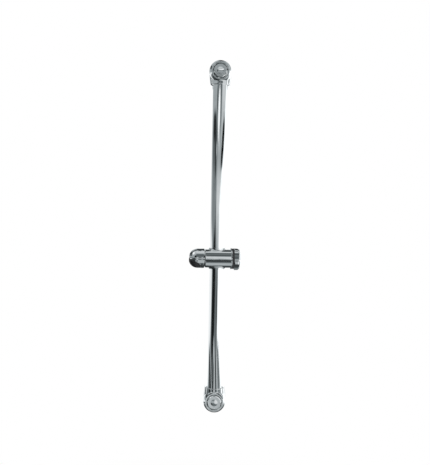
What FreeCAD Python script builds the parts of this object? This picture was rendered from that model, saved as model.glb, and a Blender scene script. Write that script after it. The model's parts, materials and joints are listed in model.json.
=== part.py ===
"""Shower slide rail: a chromed tube between two wall brackets, with a clamped slider that holds a handset.

Millimetres. The wall is the plane Y = 0, the rail stands in front of it towards -Y, and +Z is up.
The origin lies on the wall, half way between the two fixing screws.
"""
import FreeCAD, Part
import math
import os

V = FreeCAD.Vector

# Rail
fixing_spacing = 578.0  # between the two wall screws
tube_diameter = 25.0
tube_wall = 1.2
tube_standoff = 48.0  # wall to tube axis

# Brackets
head_wall = 7.0  # metal beside the tube in the round head
head_overhang = 4.9  # head in front of the tube
shoulder_width = 3.7  # rounded shoulder of the head, across and along
shoulder_length = 13.0
rim_width = 0.9
recess_depth = 3.0
socket_wall = 1.6
socket_reach = 23.0  # mouth of the tube's socket, from the screw
socket_round = 0.8
tongue_reach = 24.5  # end of the bracket's tongue, from the screw
tongue_crown = 1.5
tongue_corner = 4.0
tongue_round = 3.0
bracket_taper_deg = 7.0
saddle_offset = 4.0  # tongue front, behind the tube axis
bracket_wall = 3.0
pocket_web = 4.5  # metal between the rear pocket and the tube
screw_hole_radius = 2.75
screw_well_radius = 6.0
screw_seat = 10.0  # metal under the wall screw's head
boss_wall = 2.5
well_web = 2.0  # metal between the screw well and the tube end
set_screw_radius = 2.0

# Caps
cap_disc_radius = 11.0
cap_cone_radius = 13.6
cap_cone_height = 3.4
cap_plate = 1.4
cap_dish_radius = 6.0
cap_dish_depth = 0.3
cap_stem_length = 6.0
cap_stem_wall = 1.4

# Tube plugs
plug_length = 12.0
plug_flange = 1.0
plug_wall = 1.6

# Slider
slider_height = -38.0  # slider axis, from the middle of the rail
slider_turn_deg = 6.0  # about the tube, with the knob's end towards the wall
barrel_height = 31.6
barrel_wall = 7.0  # metal in front of the tube
barrel_round = 1.4
section_power = 3.4  # 2 is an ellipse, higher is squarer
bush_wall = 1.0
bush_length = 9.2
collar_rise = 2.6  # collar above the barrel
collar_wall = 0.7
collar_fillet = 2.2
pivot_wall = 8.9  # barrel left of the tube housing
clamp_wall = 9.5  # barrel right of the tube housing

# Handset holder
holder_tilt_deg = 36.0  # about the barrel, with the socket's foot to the front
holder_length = 27.6
holder_swell = 1.2  # depth over height, on each side
holder_power = 2.3
socket_offset = 16.8  # seam to socket axis
socket_top_radius = 10.0
socket_bottom_radius = 8.5
liner_wall = 0.9
hose_slot = 13.0
spigot_radius = 8.0
spigot_length = 4.0
pivot_web = 2.3
pivot_screw_radius = 2.45
pivot_screw_length = 10.2
pivot_head_radius = 4.2
pivot_head_height = 2.0
washer_thickness = 0.8
washer_radius = 4.8
friction_ring_radius = 13.0
friction_ring_width = 3.4
friction_ring_depth = 1.0

# Clamp and knob
shoe_radius = 7.9
shoe_length = 5.0
clamp_travel = 2.25
thread_radius = 5.0
thread_bush_radius = 10.5
thread_bush_length = 8.4
stub_radius = 3.5
stub_length = 3.0
collar_ring_radius = 18.35
collar_ring_width = 3.5
collar_ring_round = 1.1
knob_washer_radius = 17.9
knob_washer_width = 2.6
knob_gap = 0.4  # knob to washer when clamped
knob_radius = 19.8  # over the lobes
knob_length = 10.0
knob_chamfer = 0.8
knob_shoulder = 4.6  # rounded end of the lobes
knob_rim = 1.6
knob_plate = 5.6
lobe_count = 5
lobe_round = 2.5
flute_radius = 24.0
flute_depth = 3.6
end_disc_rise = 4.6
end_disc_seat = 2.0  # disc sunk in the knob
insert_radius = 7.0
knob_screw_radius = 2.0
knob_screw_length = 9.0
knob_screw_head_radius = 4.0

# Clearances
seat = 0.05  # pieces of one body, on the radius
running = 0.06  # turning and sliding fits, on the radius
face_gap = 0.1  # faces that turn past each other
seam_gap = 0.3
clamp_gap = 0.15  # shoe to tube when clamped
tube_gap = 0.45  # slider's middle bore to tube
cut_over = 3.0  # socket's cutting forms run past the metal

# Worked out from the sizes above
half_spacing = fixing_spacing / 2
tube_radius = tube_diameter / 2
tube_bore_radius = tube_radius - tube_wall
socket_bore_radius = tube_radius + seat
head_radius = tube_radius + head_wall
head_front = tube_standoff + tube_radius + head_overhang
recess_radius = head_radius - shoulder_width - rim_width
recess_floor = head_front - recess_depth
tongue_front = tube_standoff - saddle_offset
pocket_depth = tube_standoff - tube_radius - pocket_web
set_screw_drop = (screw_well_radius + boss_wall + tongue_reach - bracket_wall) / 2
tube_stop = screw_well_radius + well_web
tube_end = tube_stop + plug_flange

bush_bore = tube_radius + running
bush_radius = bush_bore + bush_wall
housing_radius = bush_radius + running
half_height = barrel_height / 2
half_depth = housing_radius + barrel_wall
seam_x = -(housing_radius + pivot_wall)
barrel_end = housing_radius + clamp_wall
collar_radius = housing_radius + collar_wall
collar_top = half_height + collar_rise

holder_right = seam_x - seam_gap
holder_depth = half_height + holder_swell
dome_base = seam_x - holder_length + half_height
socket_x = seam_x - socket_offset
web_left = seam_x + spigot_length + face_gap
web_right = web_left + pivot_web

shoe_back = tube_radius + shoe_length
bush_inner_end = shoe_back + clamp_travel + seam_gap
bush_outer_end = bush_inner_end + thread_bush_length
ring_end = barrel_end + collar_ring_width
washer_end = ring_end + knob_washer_width
knob_start = washer_end + knob_gap
knob_end = knob_start + knob_length
recess_x = knob_end - end_disc_seat
plate_x = recess_x - knob_plate
rim_radius = knob_radius - knob_shoulder
end_disc_radius = rim_radius - knob_rim


def rod_x(radius, start, end):
    return Part.makeCylinder(radius, end - start, V(start, 0, 0), V(1, 0, 0))


def rod_y(radius, back, front):
    """Cylinder through the screw axis, from a distance behind to one in front."""
    return Part.makeCylinder(radius, front - back, V(0, -back, 0), V(0, -1, 0))


def rod_z(radius, bottom, top):
    """Upright rod, with its seam towards the wall and clear of the bores across it."""
    return Part.makeCylinder(radius, top - bottom, V(0, 0, bottom)).rotated(V(), V(0, 0, 1), 90)


def outline(points):
    """Closed wire: three points make an arc, two make a line, and each edge starts where the last ended."""
    edges = []
    for run in points:
        edges.append((Part.Arc(*run) if len(run) == 3 else Part.LineSegment(*run)).toShape())
    return Part.Wire(edges)


def turned(profile, axis):
    """Solid turned from a polygon of (radius, place along the axis) corners."""
    across = V(0, 0, 1) if axis.x else V(1, 0, 0)
    corners = [across * radius + axis * place for radius, place in profile]
    return Part.Face(Part.makePolygon(corners + corners[:1])).revolve(V(), axis, 360)


def rounded_ends(shape, radius, test):
    return shape.makeFillet(radius, [edge for edge in shape.Edges if test(edge)])


# Brackets

def shield(inset):
    """Bracket outline on the wall: a round head whose sides taper to a gently curved end."""
    taper = math.radians(bracket_taper_deg)
    radius = head_radius - inset
    end = inset - tongue_reach
    shoulder = V(radius * math.cos(taper), 0, -radius * math.sin(taper))
    run = shoulder.z - (end + tongue_crown)
    corner = V(shoulder.x - run * math.tan(taper), 0, shoulder.z - run)
    left_shoulder = V(-shoulder.x, 0, shoulder.z)
    left_corner = V(-corner.x, 0, corner.z)
    return Part.Face(outline([
        (shoulder, V(0, 0, radius), left_shoulder),
        (left_shoulder, left_corner),
        (left_corner, V(0, 0, end), corner),
        (corner, shoulder),
    ]))


def tongue():
    block = shield(0).extrude(V(0, -tongue_front, 0))
    low = -tongue_reach / 2
    block = rounded_ends(block, tongue_corner, lambda e: e.BoundBox.ZMax < low and e.BoundBox.ZLength < seat)
    return rounded_ends(block, tongue_round, lambda e: e.BoundBox.YMax < seat - tongue_front)


def head():
    """Round head with a bulging shoulder and a recess for the cap."""
    back = tongue_front - 2 * tongue_round
    bulge = (shoulder_width ** 2 + shoulder_length ** 2) / (2 * shoulder_width)
    turn = math.asin(shoulder_length / bulge) / 2
    start = shoulder_length - head_front
    back_in = V(0, -back, 0)
    back_out = V(head_radius, -back, 0)
    shoulder = V(head_radius, start, 0)
    middle = V(head_radius - bulge * (1 - math.cos(turn)), start - bulge * math.sin(turn), 0)
    rim = V(head_radius - shoulder_width, -head_front, 0)
    lip = V(recess_radius, -head_front, 0)
    floor_out = V(recess_radius, -recess_floor, 0)
    floor_in = V(0, -recess_floor, 0)
    wire = outline([
        (back_in, back_out),
        (back_out, shoulder),
        (shoulder, middle, rim),
        (rim, lip),
        (lip, floor_out),
        (floor_out, floor_in),
        (floor_in, back_in),
    ])
    return Part.Face(wire).revolve(V(), V(0, 1, 0), 360)


def socket_collar():
    """Short round collar that takes the tube below the head."""
    collar = rod_z(socket_bore_radius + socket_wall, -socket_reach, 0)
    collar = rounded_ends(collar, socket_round, lambda e: e.BoundBox.ZMax < -tube_stop)
    return collar.translated(V(0, -tube_standoff, 0))


def bracket():
    """Hollow casting: head and tongue in one, with the screw's well and boss, and the tube's blind socket."""
    pocket = shield(bracket_wall).extrude(V(0, -pocket_depth, 0))
    pocket = pocket.cut(rod_y(screw_well_radius + boss_wall, 0, pocket_depth))
    socket = rod_z(socket_bore_radius, -2 * socket_reach, -tube_stop)
    socket.translate(V(0, -tube_standoff, 0))
    set_hole = rod_y(set_screw_radius + seat, pocket_depth - bracket_wall, tube_standoff)
    set_hole.translate(V(0, 0, -set_screw_drop))
    body = tongue().fuse([head(), socket_collar()]).removeSplitter()
    for hollow in (
        pocket,
        socket,
        set_hole,
        rod_y(screw_well_radius, screw_seat, head_front),
        rod_y(screw_hole_radius, 0, head_front),
    ):
        body = body.cut(hollow)
    return body


def cap():
    """Stepped disc with a shallow dish, on a hollow stem that pushes into the screw's well."""
    edge = recess_radius - seat
    plate = recess_floor + cap_plate
    top = plate + cap_cone_height
    stem = screw_well_radius - seat
    bore = stem - cap_stem_wall
    stem_end = recess_floor - cap_stem_length
    dish_radius = (cap_dish_radius ** 2 + cap_dish_depth ** 2) / (2 * cap_dish_depth)
    disc = turned(
        [
            (0, -top),
            (cap_disc_radius, -top),
            (cap_cone_radius, -plate),
            (edge, -plate),
            (edge, -recess_floor),
            (stem, -recess_floor),
            (stem, -stem_end),
            (bore, -stem_end),
            (bore, -recess_floor),
            (0, -recess_floor),
        ],
        V(0, 1, 0),
    )
    dish = Part.makeSphere(dish_radius, V(0, -(top + dish_radius - cap_dish_depth), 0))
    return disc.cut(dish)


def set_screw():
    """Short socket screw that pins the tube from the bracket's rear pocket."""
    tip = tube_standoff - tube_radius - seat
    screw = rod_y(set_screw_radius, pocket_depth, tip)
    key = Part.Face(Part.makePolygon([
        V(math.cos(turn), 0, math.sin(turn)) * set_screw_radius * 0.55
        for turn in [math.radians(60 * side) for side in range(7)]
    ])).extrude(V(0, -(pocket_depth + pocket_web / 2), 0))
    screw = screw.cut(key)
    screw.translate(V(0, 0, -set_screw_drop))
    return screw


def tube_plug():
    """Moulded cup that closes the tube's end in the bracket's socket."""
    skirt = tube_bore_radius - seat
    plug = turned(
        [
            (0, -tube_stop),
            (tube_radius, -tube_stop),
            (tube_radius, -tube_end),
            (skirt, -tube_end),
            (skirt, -tube_end - plug_length),
            (skirt - plug_wall, -tube_end - plug_length),
            (skirt - plug_wall, -tube_end - plug_wall),
            (0, -tube_end - plug_wall),
        ],
        V(0, 0, 1),
    )
    plug.translate(V(0, -tube_standoff, 0))
    return plug


def rail_tube():
    reach = half_spacing - tube_end
    tube = rod_z(tube_radius, -reach, reach).cut(rod_z(tube_bore_radius, -reach, reach))
    tube.translate(V(0, -tube_standoff, 0))
    return tube


# Slider, about its own centre on the tube axis

def oval(x, depth, height, power=section_power):
    """Upright oval at a place along the barrel, squarer than an ellipse."""
    points = []
    for step in range(24):
        turn = math.radians(15 * step)
        across = math.copysign(abs(math.cos(turn)) ** (2 / power), math.cos(turn))
        up = math.copysign(abs(math.sin(turn)) ** (2 / power), math.sin(turn))
        points.append(V(x, depth * across, height * up))
    curve = Part.BSplineCurve()
    curve.interpolate(Points=points, PeriodicFlag=True)
    return Part.Wire([curve.toShape()])


def at_collar_foot(edge):
    """Whether an edge runs where a collar meets the barrel."""
    level = edge.BoundBox.ZLength < seat
    upright = edge.BoundBox.XLength < seat
    spot = edge.Vertexes[0].Point
    return not level and not upright and abs(math.hypot(spot.x, spot.y) - collar_radius) < seat


def barrel():
    """Straight barrel with a short collar round the tube above and below, blended into it."""
    body = Part.Face(oval(seam_x, half_depth, half_height)).extrude(V(barrel_end - seam_x, 0, 0))
    body = rounded_ends(body, barrel_round, lambda e: e.BoundBox.XMax < seam_x + seat)
    body = body.fuse(rod_z(collar_radius, -collar_top, collar_top))
    return rounded_ends(body, collar_fillet, at_collar_foot)


def slider_body():
    body = barrel()
    inner_end = collar_top - bush_length
    ring_groove = rod_x(friction_ring_radius + seat, seam_x, seam_x + friction_ring_depth)
    ring_groove = ring_groove.cut(
        rod_x(friction_ring_radius - friction_ring_width - seat, seam_x, seam_x + friction_ring_depth)
    )
    for hollow in (
        rod_z(tube_radius + tube_gap, -collar_top, collar_top),
        rod_z(housing_radius, inner_end, collar_top),
        rod_z(housing_radius, -collar_top, -inner_end),
        rod_x(spigot_radius + running, seam_x, web_left),
        rod_x(pivot_screw_radius + 2 * face_gap, seam_x, 0),
        rod_x(washer_radius + face_gap, web_right, 0),
        rod_x(shoe_radius + running, 0, bush_inner_end),
        rod_x(thread_bush_radius + seat, bush_inner_end, barrel_end),
        ring_groove,
    ):
        body = body.cut(hollow)
    return body


def glide_bush():
    """Thin plastic bush in the upper collar; the lower one is its mirror image."""
    start = collar_top - bush_length
    return rod_z(bush_radius, start, collar_top).cut(rod_z(bush_bore, start, collar_top))


def friction_ring():
    start = seam_x - seam_gap + face_gap
    end = seam_x + friction_ring_depth
    inner = friction_ring_radius - friction_ring_width
    return rod_x(friction_ring_radius, start, end).cut(rod_x(inner, start, end))


# Handset holder

def dome():
    """Nearly round barrel end that closes in a dome, in one smooth skin."""
    sections = []
    for x in (holder_right, (holder_right + dome_base) / 2, dome_base):
        sections.append(oval(x, holder_depth, half_height, holder_power))
    for turn in [math.radians(angle) for angle in (20, 40, 58, 73, 84)]:
        size = math.cos(turn)
        x = dome_base - half_height * math.sin(turn)
        sections.append(oval(x, holder_depth * size, half_height * size, holder_power))
    return Part.makeLoft(sections, True)


def socket(grow):
    """Tapered bore of the socket with its hose slot, larger all round by a wall or a clearance."""
    reach = half_height + cut_over
    slope = (socket_top_radius - socket_bottom_radius) / barrel_height
    low = socket_bottom_radius - slope * cut_over + grow
    high = socket_top_radius + slope * cut_over + grow
    width = hose_slot + 2 * grow
    cone = Part.makeCone(low, high, 2 * reach, V(socket_x, 0, -reach))
    slot = Part.makeBox(holder_length, width, 2 * reach, V(socket_x - holder_length, -width / 2, -reach))
    return cone.fuse(slot)


def tilted(shape):
    return shape.rotated(V(), V(1, 0, 0), -holder_tilt_deg)


def handset_holder():
    spigot = rod_x(spigot_radius, holder_right - face_gap, seam_x + spigot_length)
    screw_hole = rod_x(pivot_screw_radius + seat, socket_x, 0)
    body = dome().fuse(spigot)
    return tilted(body.cut(socket(liner_wall)).cut(screw_hole))


def holder_liner():
    """Dark plastic lining of the socket and its slot, trimmed to the holder's form."""
    return tilted(socket(liner_wall - seat).cut(socket(0)).common(dome()))


def pivot_screw():
    head_start = web_right + face_gap + washer_thickness
    shank_end = head_start - pivot_screw_length
    screw = rod_x(pivot_head_radius, head_start, head_start + pivot_head_height)
    screw = screw.fuse(rod_x(pivot_screw_radius, shank_end, head_start))
    key = Part.Face(Part.makePolygon([
        V(0, math.cos(turn), math.sin(turn)) * pivot_screw_radius * 0.7
        for turn in [math.radians(60 * side) for side in range(7)]
    ])).extrude(V(pivot_head_height * 0.6, 0, 0))
    key.translate(V(head_start + pivot_head_height * 0.4, 0, 0))
    return screw.cut(key)


def pivot_washer():
    start = web_right + face_gap
    end = start + washer_thickness
    return rod_x(washer_radius, start, end).cut(rod_x(pivot_screw_radius + seat, start, end))


# Clamp and knob

def clamp_shoe():
    """Plastic plug whose hollowed face grips the tube."""
    shoe = rod_x(shoe_radius, 0, shoe_back)
    shoe = shoe.cut(rod_z(tube_radius + clamp_gap, -barrel_height, barrel_height))
    return shoe.cut(rod_x(stub_radius + running, shoe_back - stub_length - face_gap, shoe_back))


def thread_bush():
    bush = rod_x(thread_bush_radius, bush_inner_end, bush_outer_end)
    return bush.cut(rod_x(thread_radius + running, bush_inner_end, bush_outer_end))


def collar_ring():
    """Bright ring between the barrel and the knob."""
    bore = thread_bush_radius + seat
    face = collar_ring_radius - collar_ring_round
    return turned(
        [
            (bore, barrel_end),
            (face, barrel_end),
            (collar_ring_radius, barrel_end + collar_ring_round),
            (collar_ring_radius, ring_end - collar_ring_round),
            (face, ring_end),
            (bore, ring_end),
        ],
        V(1, 0, 0),
    )


def knob_washer():
    """Dark ring that the knob closes up to."""
    bore = thread_bush_radius + seat
    return rod_x(knob_washer_radius, ring_end, washer_end).cut(rod_x(bore, ring_end, washer_end))


def knob_form():
    """Turned form of the knob before its flutes, with a rounded shoulder."""
    start = knob_end - knob_shoulder
    bend = knob_shoulder * math.sqrt(0.5)
    back = V(knob_start, 0, 0)
    skirt = V(knob_start, 0, knob_radius - knob_chamfer)
    edge = V(knob_start + knob_chamfer, 0, knob_radius)
    shoulder = V(start, 0, knob_radius)
    middle = V(start + bend, 0, rim_radius + bend)
    rim = V(knob_end, 0, rim_radius)
    front = V(knob_end, 0, 0)
    wire = outline([
        (back, skirt),
        (skirt, edge),
        (edge, shoulder),
        (shoulder, middle, rim),
        (rim, front),
        (front, back),
    ])
    return Part.Face(wire).revolve(V(), V(1, 0, 0), 360)


def clamp_knob():
    """Lobed knob with a recess for its domed disc."""
    knob = knob_form()
    flute = rod_x(flute_radius, knob_start, knob_end)
    flute.translate(V(0, 0, knob_radius + flute_radius - flute_depth))
    for step in range(lobe_count):
        knob = knob.cut(flute.rotated(V(), V(1, 0, 0), 360 * step / lobe_count))
    plain = knob_length - knob_shoulder - knob_chamfer
    knob = rounded_ends(knob, lobe_round, lambda e: abs(e.Length - plain) < seat)
    screw_clear = knob_screw_radius + seat
    for hollow in (
        rod_x(end_disc_radius + seat, recess_x, knob_end),
        rod_x(thread_bush_radius + knob_gap, knob_start, plate_x),
        rod_x(insert_radius + seat, plate_x, recess_x - knob_plate / 2),
        rod_x(screw_clear, plate_x, recess_x),
        screw_cone(seat),
    ):
        knob = knob.cut(hollow)
    return knob


def screw_cone(grow):
    """Countersink under the knob screw's head, flush with the recess floor."""
    rise = knob_screw_head_radius - knob_screw_radius
    base = V(recess_x - rise, 0, 0)
    return Part.makeCone(knob_screw_radius + grow, knob_screw_head_radius + grow, rise, base, V(1, 0, 0))


def knob_spindle():
    """Brass spindle: stub in the shoe, thread in the bush, and a head in the knob."""
    insert_end = recess_x - knob_plate / 2
    spindle = rod_x(stub_radius, shoe_back - stub_length, shoe_back + face_gap)
    spindle = spindle.fuse(rod_x(thread_radius, shoe_back + face_gap, plate_x))
    spindle = spindle.fuse(rod_x(insert_radius, plate_x, insert_end))
    return spindle.cut(rod_x(knob_screw_radius + seat, recess_x - knob_screw_length - face_gap, insert_end))


def knob_screw():
    shank = rod_x(knob_screw_radius, recess_x - knob_screw_length, recess_x)
    return shank.fuse(screw_cone(0)).removeSplitter()


def knob_end_disc():
    """Domed disc that closes the knob."""
    sphere = (end_disc_radius ** 2 + end_disc_rise ** 2) / (2 * end_disc_rise)
    turn = math.asin(end_disc_radius / sphere) / 2
    tip_x = knob_end + end_disc_rise
    back = V(recess_x, 0, 0)
    edge = V(recess_x, 0, end_disc_radius)
    rim = V(knob_end, 0, end_disc_radius)
    middle = V(tip_x - sphere * (1 - math.cos(turn)), 0, sphere * math.sin(turn))
    tip = V(tip_x, 0, 0)
    wire = outline([
        (back, edge),
        (edge, rim),
        (rim, middle, tip),
        (tip, back),
    ])
    return Part.Face(wire).revolve(V(), V(1, 0, 0), 360)


def placed_on_rail(shape):
    turned_shape = shape.rotated(V(), V(0, 0, 1), slider_turn_deg)
    return turned_shape.translated(V(0, -tube_standoff, slider_height))


def build():
    pieces = {"rail_tube": rail_tube()}
    for name, make in (
        ("bracket", bracket),
        ("cap", cap),
        ("tube_plug", tube_plug),
        ("set_screw", set_screw),
    ):
        piece = make().translated(V(0, 0, half_spacing))
        pieces["upper_" + name] = piece
        pieces["lower_" + name] = piece.mirror(V(), V(0, 0, 1))
    bush = glide_bush()
    pieces["upper_glide_bush"] = placed_on_rail(bush)
    pieces["lower_glide_bush"] = placed_on_rail(bush.mirror(V(), V(0, 0, 1)))
    for make in (
        slider_body,
        friction_ring,
        handset_holder,
        holder_liner,
        pivot_screw,
        pivot_washer,
        clamp_shoe,
        thread_bush,
        collar_ring,
        knob_washer,
        clamp_knob,
        knob_spindle,
        knob_screw,
        knob_end_disc,
    ):
        pieces[make.__name__] = placed_on_rail(make())
    return pieces


os.makedirs("parts", exist_ok=True)
for node, shape in build().items():
    shape.exportStep(os.path.join("parts", node + ".step"))
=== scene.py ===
"""Looks of the chromed shower slide rail: camera, studio, and the finish of every piece.

Metres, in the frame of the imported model: +Z up along the rail, the wall at Y = 0, the front towards -Y.
"""
from collections import namedtuple
import json
import math

import bpy
from mathutils import Matrix, Vector


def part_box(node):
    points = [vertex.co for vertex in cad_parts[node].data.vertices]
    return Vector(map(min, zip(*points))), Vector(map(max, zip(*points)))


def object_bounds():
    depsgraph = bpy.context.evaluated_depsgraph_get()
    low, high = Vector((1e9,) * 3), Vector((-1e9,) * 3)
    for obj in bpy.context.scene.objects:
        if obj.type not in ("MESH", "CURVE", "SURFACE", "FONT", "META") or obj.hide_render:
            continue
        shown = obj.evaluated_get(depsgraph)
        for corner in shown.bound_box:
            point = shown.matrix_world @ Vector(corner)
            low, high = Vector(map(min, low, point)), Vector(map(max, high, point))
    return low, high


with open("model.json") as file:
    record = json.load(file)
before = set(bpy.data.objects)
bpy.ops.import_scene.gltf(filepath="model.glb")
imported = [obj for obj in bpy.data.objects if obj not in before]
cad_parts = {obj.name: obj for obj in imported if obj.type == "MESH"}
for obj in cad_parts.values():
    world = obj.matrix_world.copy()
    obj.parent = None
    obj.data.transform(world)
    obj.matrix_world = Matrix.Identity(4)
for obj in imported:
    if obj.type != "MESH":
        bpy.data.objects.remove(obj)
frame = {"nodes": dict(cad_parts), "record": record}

CAD_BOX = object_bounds()

# Image and camera
IMAGE_WIDTH = 430
IMAGE_HEIGHT = 465
SENSOR = 36.0  # millimetres along the longer side of the image
FOCAL_PIXELS = 836.0
VIEW_DISTANCE = 1.47  # from the tube's axis
VIEW_ELEVATION = math.radians(1.5)
VIEW_ROLL = math.radians(1.1)
MIDDLE_PIXEL = (217.4, 236.85)  # where the middle of the tube lies in the photograph

# Floor
FLOOR_DROP = 0.35  # below the rail's lower end
FLOOR_RADIUS = 1.0
FLOOR_SIDES = 128
FLOOR_COLOR = (0.86, 0.86, 0.855, 1.0)
FLOOR_CLOUD_LEVEL = 0.9
FLOOR_CLOUD_SCALE = 9.0
FLOOR_CLOUD_DETAIL = 3.0
FLOOR_FADE_START = FLOOR_RADIUS * 0.35
FLOOR_FADE_END = FLOOR_RADIUS * 0.95

# Studio seen by bright metal, in degrees: azimuth 0 is in front, positive to the right; elevation 0 is level
HALF_TURN = 180.0
STRAIGHT_UP = 90.0
STRAIGHT_DOWN = -90.0

# Brightness of the walls from straight down to straight up: (elevation, brightness)
FRONT_WALL = (
    (-90, 0.04), (-78, 0.06), (-66, 0.44), (-30, 0.44), (-20, 0.16), (-14, 0.10), (-10, 0.14), (-6, 0.14),
    (-4, 0.17), (-2, 0.38), (0.5, 0.62), (2.2, 0.60), (3.8, 0.34), (5.2, 0.36), (7, 0.15), (9, 0.08),
    (19, 0.08), (28, 0.18), (40, 0.09), (56, 0.12), (70, 0.60), (90, 0.58),
)
LEFT_WALL = (
    (-90, 0.05), (-70, 0.04), (-40, 0.02), (-16, 0.03), (-12, 0.12), (-9, 0.20), (-6, 0.22), (-2, 0.22),
    (2.6, 0.22), (3.8, 0.11), (5.6, 0.12), (6.8, 0.36), (9, 0.38), (20, 0.34), (45, 0.40), (70, 0.55),
    (90, 0.58),
)
RIGHT_WALL = (
    (-90, 0.05), (-72, 0.30), (-55, 0.85), (-25, 0.85), (-13, 0.35), (-9, 0.20), (0, 0.45), (6, 0.50),
    (12, 0.75), (25, 0.92), (50, 0.80), (70, 0.60), (90, 0.58),
)
BACK_WALL = (
    (-90, 0.05), (-70, 0.05), (-42, 0.04), (-22, 0.08), (-15, 0.90), (-2, 0.85), (4, 0.45), (10, 0.36),
    (45, 0.42), (54, 0.08), (70, 0.08), (80, 0.45), (90, 0.58),
)

# Soft corners of the walls: azimuth, on its own side, where the next wall begins and where it is alone
LEFT_CORNER = (10, 45)
RIGHT_CORNER = (18, 40)
BACK_CORNER = (95, 150)

# Cards hung in front of the walls, each over the ones before it
# edge is the softness as a share of the size, and lean the azimuth gained per elevation
Card = namedtuple("Card", "azimuth half_width elevation half_height edge brightness lean")
CARD_POWER = 2.6  # of the outline: 2 is an ellipse, and more is squarer
CARDS = {
    # Streaks along the tube and the barrel
    "low_left_card": Card(-128, 44, -5.2, 4.2, 0.30, 0.86, 0.0),
    "low_left_gap": Card(-47, 27, -5.6, 4.7, 0.22, 0.010, 1.0),
    "left_line": Card(-33, 5, -0.9, 1.8, 0.50, 0.06, -4.0),
    "left_gap": Card(-78, 30, 6.1, 1.0, 0.45, 0.020, 0.0),
    "left_gap_foot": Card(-54, 11, 4.2, 1.8, 0.45, 0.030, 0.0),
    "left_glint": Card(-37, 7, 4.5, 0.5, 0.50, 0.48, 0.0),
    "strip": Card(-7, 15, 6.9, 1.75, 0.15, 1.00, 2.0),
    "strip_left_line": Card(-41, 7, 7.8, 1.0, 0.50, 0.06, 0.0),
    "strip_right_line": Card(16, 8, 7.6, 1.8, 0.50, 0.18, 0.0),
    "strip_foot": Card(2, 9, 5.2, 0.9, 0.60, 0.55, 0.0),
    "front_low_card": Card(15, 9, -1.4, 1.6, 0.35, 0.62, 0.0),
    "barrel_gap": Card(12, 6, -7.8, 4.2, 0.25, 0.025, 0.0),
    "low_glint": Card(-24, 7, -9.3, 0.9, 0.50, 0.50, -4.0),
    # Lines at the tube's foot
    "foot_left_gap": Card(-82, 13, -11.2, 2.2, 0.25, 0.004, -14.0),
    "foot_left_card": Card(-60, 8, -10.8, 1.8, 0.45, 0.36, -12.0),
    "foot_left_line": Card(-44, 8, -10.8, 1.6, 0.40, 0.008, -12.0),
    "foot_right_card": Card(33, 8, -10.6, 1.6, 0.45, 0.52, -9.0),
    "foot_right_gap": Card(58, 13, -10.6, 1.5, 0.45, 0.14, -9.0),
    # Faces of the caps
    "upper_disc_card": Card(-1, 9, 13.9, 4.6, 0.12, 0.33, 0.0),
    "lower_disc_card": Card(1, 9, -15.3, 3.8, 0.20, 0.40, 0.0),
    "lower_dish_card": Card(-6, 5.5, -16.0, 7.0, 0.35, 0.70, 0.0),
    # Rounded heads and ends
    "left_back_gap": Card(-124, 30, 22.0, 7.5, 0.20, 0.03, 0.0),
    "left_top_card": Card(-84, 18, 48.0, 10.0, 0.30, 0.95, 0.0),
    "left_high_gap": Card(-29, 15, 25.0, 15.0, 0.25, 0.008, 0.0),
    "right_high_gap": Card(30, 12, 23.0, 15.0, 0.22, 0.008, 0.0),
    "left_low_gap": Card(-128, 24, -14.2, 2.6, 0.25, 0.02, 0.0),
    "right_low_gap": Card(30, 9, -19.5, 7.0, 0.22, 0.008, 0.0),
    "front_low_gap": Card(-6, 8, -42.0, 9.0, 0.30, 0.01, 0.0),
    "right_low_panel": Card(106, 12, -23.0, 9.0, 0.25, 0.04, 0.0),
    # Behind the rail
    "back_top_gap": Card(177, 9, 39.0, 25.0, 0.22, 0.05, 0.0),
    "back_right_card": Card(160, 12, 11.2, 3.2, 0.30, 1.00, 0.0),
    "back_card": Card(180, 15, 3.5, 8.5, 0.15, 1.00, 0.0),
    "back_middle": Card(180, 3, -6.0, 20.0, 0.25, 0.42, 0.0),
    "back_low_gap": Card(177, 9, -50.0, 29.0, 0.25, 0.04, 0.0),
}

# White card on the right: its near edge leans away above its top and below its foot
WHITE_EDGE = 21.0
WHITE_TOP = 0.8
WHITE_FOOT = -8.1
WHITE_TOP_LEAN = 12.0
WHITE_FOOT_LEAN = 24.0
WHITE_SOFT = 13.0
WHITE_LEVEL = 1.12
WHITE_RIM = Card(-7, 22, 4.95, 1.75, 0.25, 0.004, 0.0)  # azimuth counted from the near edge

# Dark arch behind, from the right over the top to the left, in shares of the direction's length:
# how far back it stands, and the height of its feet, which changes over a span about the middle
ARCH_BACK = 0.33
ARCH_HALF = 0.14
ARCH_EDGE = 0.25
ARCH_LEFT_FOOT = 0.30
ARCH_RIGHT_FOOT = 0.16
ARCH_FOOT_SPAN = 0.2
ARCH_FOOT_SOFT = 0.03
ARCH_LEVEL = 0.03

# Strength and tint of the whole studio
STUDIO_GAIN = 1.2
DARK_TINT = (0.86, 1.0, 1.045, 1.0)
LIGHT_TINT = (0.975, 1.0, 1.015, 1.0)
LIGHT_TINT_FROM = 0.7  # brightness from which the light tint is alone


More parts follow.
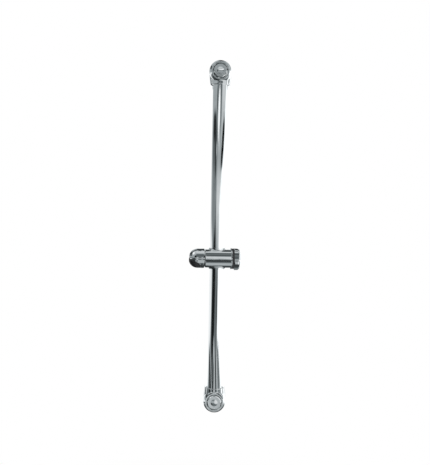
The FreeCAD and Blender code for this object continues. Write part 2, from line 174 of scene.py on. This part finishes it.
class Nodes:
    """Short ways to add and link shader nodes in one tree."""

    def __init__(self, tree):
        self.tree = tree
        tree.nodes.clear()

    def add(self, kind, **inputs):
        """A new node with its inputs set or linked; an underscore stands for a space in an input's name."""
        node = self.tree.nodes.new(kind)
        for name, value in inputs.items():
            self.feed(node.inputs[name.replace("_", " ")], value)
        return node

    def feed(self, socket, value):
        """Link the socket to another one, or set it to a plain value."""
        if isinstance(value, bpy.types.NodeSocket):
            self.tree.links.new(value, socket)
        else:
            socket.default_value = value

    def math(self, operation, *values):
        node = self.add("ShaderNodeMath")
        node.operation = operation
        for socket, value in zip(node.inputs, values):
            self.feed(socket, value)
        return node.outputs[0]

    def length(self, vector):
        node = self.add("ShaderNodeVectorMath", Vector=vector)
        node.operation = "LENGTH"
        return node.outputs["Value"]

    def smooth(self, value, start, end):
        """0 before start and 1 after end, with a soft step between them."""
        node = self.add("ShaderNodeMapRange", Value=value, From_Min=start, From_Max=end)
        node.interpolation_type = "SMOOTHSTEP"
        return node.outputs["Result"]

    def spread(self, value, low, high, to_low, to_high):
        """What lies between low and high, carried over to between to_low and to_high."""
        node = self.add("ShaderNodeMapRange", Value=value, From_Min=low, From_Max=high)
        self.feed(node.inputs["To Min"], to_low)
        self.feed(node.inputs["To Max"], to_high)
        return node.outputs["Result"]

    def mix(self, share, first, second, blend="MIX"):
        node = self.tree.nodes.new("ShaderNodeMix")
        node.data_type = "RGBA"
        node.blend_type = blend
        self.feed(node.inputs["Factor"], share)
        self.feed(node.inputs[6], first)  # the first and the second colour
        self.feed(node.inputs[7], second)
        return node.outputs[2]

    def mix_shaders(self, share, first, second):
        node = self.add("ShaderNodeMixShader", Fac=share)
        self.feed(node.inputs[1], first)
        self.feed(node.inputs[2], second)
        return node.outputs[0]

    def curve(self, elevation, stops):
        """Brightness that follows (elevation, brightness) stops from straight down to straight up."""
        place = self.spread(elevation, STRAIGHT_DOWN, STRAIGHT_UP, 0.0, 1.0)
        node = self.add("ShaderNodeValToRGB", Fac=place)
        ramp = node.color_ramp
        ramp.interpolation = "LINEAR"
        while len(ramp.elements) < len(stops):
            ramp.elements.new(1.0)
        for element, (degrees, brightness) in zip(ramp.elements, stops):
            element.position = (degrees - STRAIGHT_DOWN) / (STRAIGHT_UP - STRAIGHT_DOWN)
            element.color = grey(brightness)
        return node.outputs["Color"]


def grey(level):
    return (level, level, level, 1.0)


def put_card(nodes, light, azimuth, elevation, card):
    """The studio's light with one soft-edged oval card set in it."""
    rise = nodes.math("SUBTRACT", elevation, card.elevation)
    aside = nodes.math("SUBTRACT", azimuth, card.azimuth)
    aside = nodes.math("SUBTRACT", aside, nodes.math("MULTIPLY", rise, card.lean))
    aside = nodes.math("WRAP", aside, HALF_TURN, -HALF_TURN)
    wide = nodes.math("ABSOLUTE", nodes.math("DIVIDE", aside, card.half_width))
    high = nodes.math("ABSOLUTE", nodes.math("DIVIDE", rise, card.half_height))
    wide = nodes.math("POWER", wide, CARD_POWER)
    high = nodes.math("POWER", high, CARD_POWER)
    out = nodes.math("POWER", nodes.math("ADD", wide, high), 1 / CARD_POWER)
    return nodes.mix(nodes.smooth(out, 1 - card.edge, 1 + card.edge), grey(card.brightness), light)


def put_white_card(nodes, light, azimuth, elevation):
    """The big white card on the right, with the dark rim along the top of its near edge."""
    above = nodes.math("MAXIMUM", nodes.math("SUBTRACT", elevation, WHITE_TOP), 0.0)
    below = nodes.math("MAXIMUM", nodes.math("SUBTRACT", WHITE_FOOT, elevation), 0.0)
    top_lean = nodes.math("MULTIPLY", above, WHITE_TOP_LEAN)
    foot_lean = nodes.math("MULTIPLY", below, WHITE_FOOT_LEAN)
    lean = nodes.math("ADD", top_lean, foot_lean)
    inside = nodes.math("SUBTRACT", nodes.math("SUBTRACT", azimuth, lean), WHITE_EDGE)
    light = nodes.mix(nodes.smooth(inside, -WHITE_SOFT, WHITE_SOFT), light, grey(WHITE_LEVEL))
    return put_card(nodes, light, inside, elevation, WHITE_RIM)


def put_arch(nodes, light, axes):
    """The dark arch that stands a little behind the rail."""
    behind = nodes.math("SUBTRACT", axes["Y"], ARCH_BACK)
    out = nodes.math("ABSOLUTE", nodes.math("DIVIDE", behind, ARCH_HALF))
    foot = nodes.spread(axes["X"], -ARCH_FOOT_SPAN, ARCH_FOOT_SPAN, ARCH_LEFT_FOOT, ARCH_RIGHT_FOOT)
    raised = nodes.smooth(nodes.math("SUBTRACT", axes["Z"], foot), -ARCH_FOOT_SOFT, ARCH_FOOT_SOFT)
    share = nodes.math("MULTIPLY", nodes.smooth(out, 1 + ARCH_EDGE, 1 - ARCH_EDGE), raised)
    return nodes.mix(share, light, grey(ARCH_LEVEL))


def make_world():
    """White to the eye; bright metal sees a white studio with dark gaps between its walls."""
    world = bpy.data.worlds.new("studio")
    world.use_nodes = True
    nodes = Nodes(world.node_tree)
    direction = nodes.add("ShaderNodeTexCoord").outputs["Generated"]
    axes = nodes.add("ShaderNodeSeparateXYZ", Vector=direction).outputs
    to_degrees = HALF_TURN / math.pi
    towards_front = nodes.math("MULTIPLY", axes["Y"], -1.0)
    azimuth = nodes.math("MULTIPLY", nodes.math("ARCTAN2", axes["X"], towards_front), to_degrees)
    elevation = nodes.math("MULTIPLY", nodes.math("ARCSINE", axes["Z"]), to_degrees)
    leftward = nodes.math("MULTIPLY", azimuth, -1.0)
    around = nodes.math("ABSOLUTE", azimuth)

    light = nodes.curve(elevation, FRONT_WALL)
    light = nodes.mix(nodes.smooth(leftward, *LEFT_CORNER), light, nodes.curve(elevation, LEFT_WALL))
    light = nodes.mix(nodes.smooth(azimuth, *RIGHT_CORNER), light, nodes.curve(elevation, RIGHT_WALL))
    light = nodes.mix(nodes.smooth(around, *BACK_CORNER), light, nodes.curve(elevation, BACK_WALL))
    light = put_arch(nodes, light, axes)
    light = put_white_card(nodes, light, azimuth, elevation)
    for card in CARDS.values():
        light = put_card(nodes, light, azimuth, elevation, card)
    tint_share = nodes.spread(light, 0.0, LIGHT_TINT_FROM, 0.0, 1.0)
    light = nodes.mix(1.0, light, nodes.mix(tint_share, DARK_TINT, LIGHT_TINT), blend="MULTIPLY")

    path = nodes.add("ShaderNodeLightPath").outputs
    studio = nodes.add("ShaderNodeBackground", Color=light, Strength=STUDIO_GAIN).outputs[0]
    white = nodes.add("ShaderNodeBackground", Color=grey(1.0), Strength=1.0).outputs[0]
    seen = nodes.mix_shaders(path["Is Glossy Ray"], white, studio)
    nodes.add("ShaderNodeOutputWorld", Surface=seen)
    bpy.context.scene.world = world


def make_camera():
    """Camera in front of the tube, aimed so that its middle falls on MIDDLE_PIXEL."""
    low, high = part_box("rail_tube")
    middle = (low + high) / 2
    data = bpy.data.cameras.new("camera")
    data.sensor_width = SENSOR
    data.lens = FOCAL_PIXELS * SENSOR / IMAGE_HEIGHT
    camera = bpy.data.objects.new("camera", data)
    bpy.context.scene.collection.objects.link(camera)
    back = Vector((0.0, -math.cos(VIEW_ELEVATION), math.sin(VIEW_ELEVATION)))
    camera.location = middle + back * VIEW_DISTANCE
    scale = VIEW_DISTANCE / FOCAL_PIXELS
    aim_right = (IMAGE_WIDTH / 2 - MIDDLE_PIXEL[0]) * scale
    aim_up = (MIDDLE_PIXEL[1] - IMAGE_HEIGHT / 2) * scale
    aim = middle + Vector((aim_right, 0.0, aim_up))
    turn = (aim - camera.location).to_track_quat("-Z", "Y").to_matrix()
    camera.rotation_euler = (turn @ Matrix.Rotation(VIEW_ROLL, 3, "Z")).to_euler()
    bpy.context.scene.camera = camera


def new_material(name):
    material = bpy.data.materials.new(name)
    material.use_nodes = True
    return material, Nodes(material.node_tree)


def new_finish(name, metallic):
    """A material with one shader, and the nodes and the shader to work on."""
    material, nodes = new_material(name)
    shader = nodes.add("ShaderNodeBsdfPrincipled", Metallic=metallic)
    nodes.add("ShaderNodeOutputMaterial", Surface=shader.outputs[0])
    return material, nodes, shader


def noise(nodes, scale, detail, stretch=(1.0, 1.0, 1.0)):
    """Noise in the part's own metres, finer along an axis by its stretch."""
    place = nodes.add("ShaderNodeTexCoord").outputs["Object"]
    mapping = nodes.add("ShaderNodeMapping", Vector=place, Scale=stretch)
    texture = nodes.add("ShaderNodeTexNoise", Vector=mapping.outputs[0], Scale=scale, Detail=detail)
    return texture.outputs["Fac"]


def vary(nodes, shader, share, colors, roughness, span):
    """Colour that follows share, and roughness that follows it over a span."""
    nodes.feed(shader.inputs["Base Color"], nodes.mix(share, *colors))
    nodes.feed(shader.inputs["Roughness"], nodes.spread(share, *span, *roughness))


def emboss(nodes, shader, height, strength, depth):
    bump = nodes.add("ShaderNodeBump", Height=height, Strength=strength, Distance=depth)
    nodes.feed(shader.inputs["Normal"], bump.outputs[0])


def make_chrome():
    """Bright chrome plate: long faint polishing waves, and a thin film of smears."""
    material, nodes, shader = new_finish("chrome", metallic=1.0)
    smears = nodes.smooth(noise(nodes, scale=45.0, detail=4.0), start=0.42, end=0.72)
    colors = (0.80, 0.81, 0.81, 1), (0.76, 0.775, 0.775, 1)
    vary(nodes, shader, smears, colors, roughness=(0.03, 0.075), span=(0, 1))
    waves = noise(nodes, scale=60.0, detail=2.0, stretch=(1.0, 1.0, 0.18))
    emboss(nodes, shader, waves, strength=0.06, depth=0.002)
    return material


def make_chromed_plastic():
    """Chrome plate on moulded plastic: a film of smears and a trace of orange peel."""
    material, nodes, shader = new_finish("chromed_plastic", metallic=1.0)
    smears = nodes.smooth(noise(nodes, scale=70.0, detail=4.0), start=0.4, end=0.7)
    colors = (0.79, 0.80, 0.80, 1), (0.74, 0.75, 0.755, 1)
    vary(nodes, shader, smears, colors, roughness=(0.04, 0.09), span=(0, 1))
    peel = noise(nodes, scale=240.0, detail=2.0)
    emboss(nodes, shader, peel, strength=0.05, depth=0.0006)
    return material


def make_dark_plastic():
    """Moulded plastic with a fine matt grain."""
    material, nodes, shader = new_finish("dark_plastic", metallic=0.0)
    cloud = noise(nodes, scale=120.0, detail=4.0)
    colors = (0.022, 0.022, 0.024, 1), (0.038, 0.038, 0.04, 1)
    vary(nodes, shader, cloud, colors, roughness=(0.42, 0.58), span=(0.3, 0.7))
    grain = noise(nodes, scale=2600.0, detail=2.0)
    emboss(nodes, shader, grain, strength=0.25, depth=0.0001)
    return material


def make_brass():
    """Turned brass with fine tool marks round the spindle's axis."""
    material, nodes, shader = new_finish("brass", metallic=1.0)
    cloud = noise(nodes, scale=160.0, detail=4.0)
    colors = (0.70, 0.53, 0.25, 1), (0.76, 0.60, 0.32, 1)
    vary(nodes, shader, cloud, colors, roughness=(0.24, 0.36), span=(0.3, 0.7))
    marks = noise(nodes, scale=40.0, detail=2.0, stretch=(160.0, 1.0, 1.0))
    emboss(nodes, shader, marks, strength=0.2, depth=0.0001)
    return material


def make_steel():
    """Zinc-plated steel: bluish grey with a spangle of lighter patches."""
    material, nodes, shader = new_finish("steel", metallic=1.0)
    cloud = noise(nodes, scale=420.0, detail=4.0)
    colors = (0.48, 0.49, 0.50, 1), (0.62, 0.62, 0.60, 1)
    vary(nodes, shader, cloud, colors, roughness=(0.26, 0.42), span=(0.3, 0.7))
    return material


def make_floor():
    """Pale floor well below the rail, fading to white towards its edge."""
    low, high = CAD_BOX
    middle = (low + high) / 2
    spot = (middle.x, middle.y, low.z - FLOOR_DROP)
    bpy.ops.mesh.primitive_circle_add(
        vertices=FLOOR_SIDES, radius=FLOOR_RADIUS, fill_type="NGON", location=spot
    )
    floor = bpy.context.object
    floor.name = "floor"
    material, nodes = new_material("floor")
    cloud = noise(nodes, FLOOR_CLOUD_SCALE, FLOOR_CLOUD_DETAIL)
    color = nodes.mix(cloud, FLOOR_COLOR, grey(FLOOR_CLOUD_LEVEL))
    pale = nodes.add("ShaderNodeBsdfDiffuse", Color=color).outputs[0]
    white = nodes.add("ShaderNodeEmission", Color=grey(1.0), Strength=1.0).outputs[0]
    place = nodes.add("ShaderNodeTexCoord").outputs["Object"]
    fade = nodes.smooth(nodes.length(place), FLOOR_FADE_START, FLOOR_FADE_END)
    nodes.add("ShaderNodeOutputMaterial", Surface=nodes.mix_shaders(fade, pale, white))
    floor.data.materials.append(material)
    floor.visible_glossy = False


def dress_nodes():
    """Give every piece the finish of its slot in the record."""
    makers = {
        "chrome": make_chrome,
        "chromed_plastic": make_chromed_plastic,
        "dark_plastic": make_dark_plastic,
        "brass": make_brass,
        "steel": make_steel,
    }
    finishes = {slot: make() for slot, make in makers.items()}
    for subpart in frame["record"]["subparts"]:
        piece = frame["nodes"][subpart["node"]]
        piece.data.materials.clear()
        piece.data.materials.append(finishes[subpart["material_slot"]])


make_camera()
make_world()
make_floor()
dress_nodes()

bpy.context.scene.view_settings.view_transform = "Standard"
